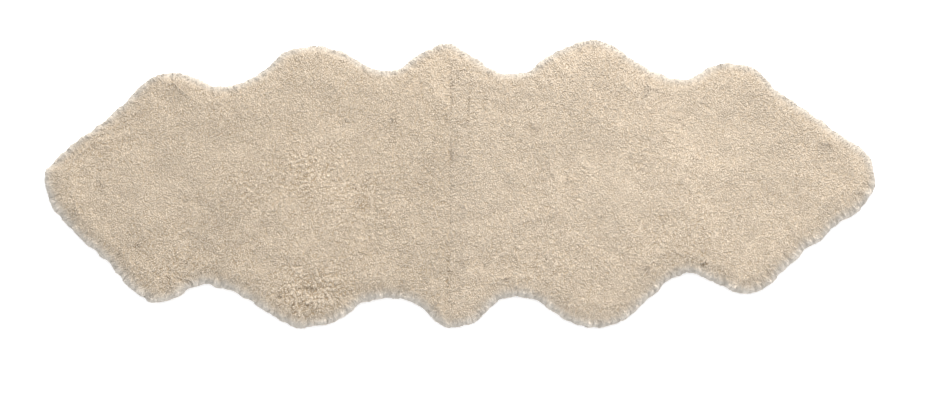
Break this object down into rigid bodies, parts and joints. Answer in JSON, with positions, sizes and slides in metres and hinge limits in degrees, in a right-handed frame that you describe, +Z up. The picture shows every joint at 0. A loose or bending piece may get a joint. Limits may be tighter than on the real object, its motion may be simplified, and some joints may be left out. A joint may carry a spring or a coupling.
{
  "type": "double sheepskin rug",
  "caption": "Long flat sheepskin rug of skins sewn end to end, with short curly wool and a wavy, lobed rim. It lies wool side up on a floor, bench or seat.",
  "frame": {"origin": "on the surface the rug lies on, under the middle of the rug's box", "axes": "+X along the rug's length, from the left skin's neck to the right skin's neck; +Y across it, away from the picture's camera; +Z up, out of the wool"},
  "size_m": [1.809, 0.655, 0.0313],
  "materials": {
    "wool_left": "matt shorn curly wool, warm beige",
    "wool_right": "matt shorn curly wool, a lighter warm beige",
    "hide": "matt suede side of the hide"
  },
  "bodies": {
    "root": {"skin_left": "wool_left", "skin_right": "wool_right"}
  },
  "joints": []
}
